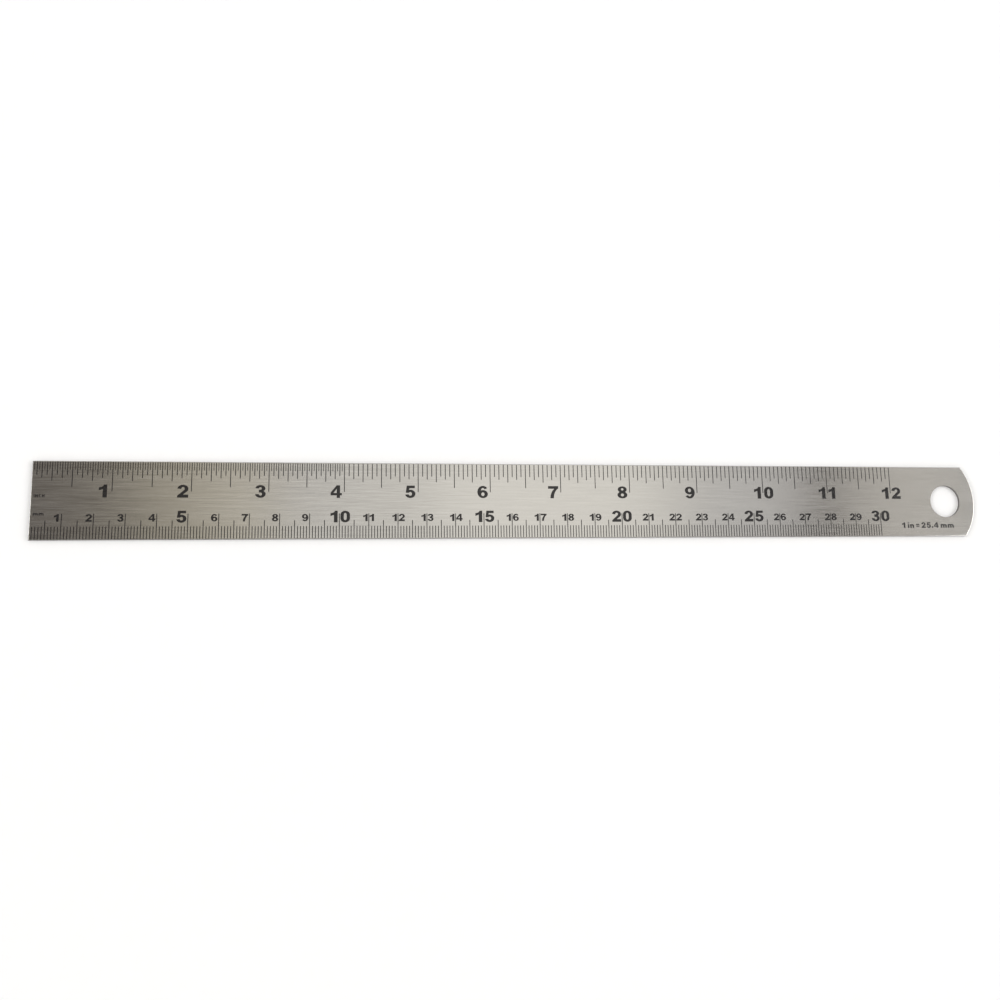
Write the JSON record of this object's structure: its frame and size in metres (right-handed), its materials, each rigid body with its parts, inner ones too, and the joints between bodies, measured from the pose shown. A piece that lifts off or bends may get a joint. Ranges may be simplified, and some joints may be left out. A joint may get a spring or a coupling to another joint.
{
  "type": "steel ruler",
  "caption": "Rigid flat steel ruler with etched inch and millimetre scales, a square zero end and a bowed end with a hanging hole.",
  "frame": {"origin": "centre of the zero end's flat face, where both scales begin", "axes": "+X along the ruler from the zero end to the hanging hole, +Y across the face from the metric edge to the inch edge, +Z out of the graduated face"},
  "size_m": [0.339, 0.0264, 0.001],
  "materials": {
    "brushed_stainless": "satin, brushed lengthwise, with a slight warm tone",
    "black_enamel": "matt baked enamel, slightly below the steel face"
  },
  "bodies": {
    "root": {"blade": "brushed_stainless", "thirty_second_lines": "black_enamel", "sixteenth_lines": "black_enamel", "eighth_lines": "black_enamel", "quarter_lines": "black_enamel", "half_inch_lines": "black_enamel", "inch_lines": "black_enamel", "inch_numerals": "black_enamel", "inch_legend": "black_enamel", "millimetre_lines": "black_enamel", "five_millimetre_lines": "black_enamel", "centimetre_lines": "black_enamel", "centimetre_numerals": "black_enamel", "five_centimetre_numerals": "black_enamel", "millimetre_legend": "black_enamel", "conversion_legend": "black_enamel"}
  },
  "joints": []
}
